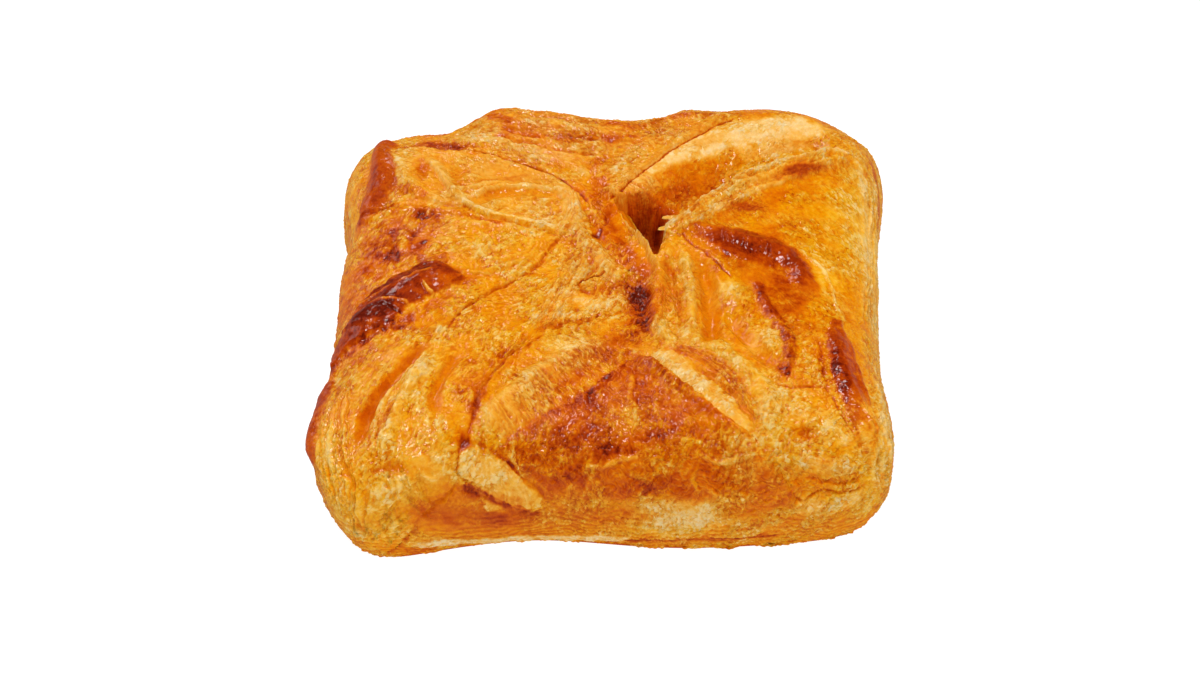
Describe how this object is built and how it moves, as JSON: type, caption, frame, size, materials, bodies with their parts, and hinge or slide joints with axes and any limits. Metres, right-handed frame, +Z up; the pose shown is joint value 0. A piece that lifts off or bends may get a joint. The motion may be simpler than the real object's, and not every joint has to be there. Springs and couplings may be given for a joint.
{
  "type": "khachapuri",
  "caption": "Square puff pastry envelope baked golden brown: four corners folded to the middle, puffed folds and an open gap between two flaps.",
  "frame": {"origin": "on the tray surface under the middle of the pastry's bounding box", "axes": "+Z up, -Y towards the front flap, +X to the right of the front flap"},
  "size_m": [0.12, 0.1218, 0.032],
  "materials": {
    "crust": "baked puff pastry, butter glazed, golden yellow to dark brown"
  },
  "bodies": {
    "root": {"khachapuri": "crust"}
  },
  "joints": []
}
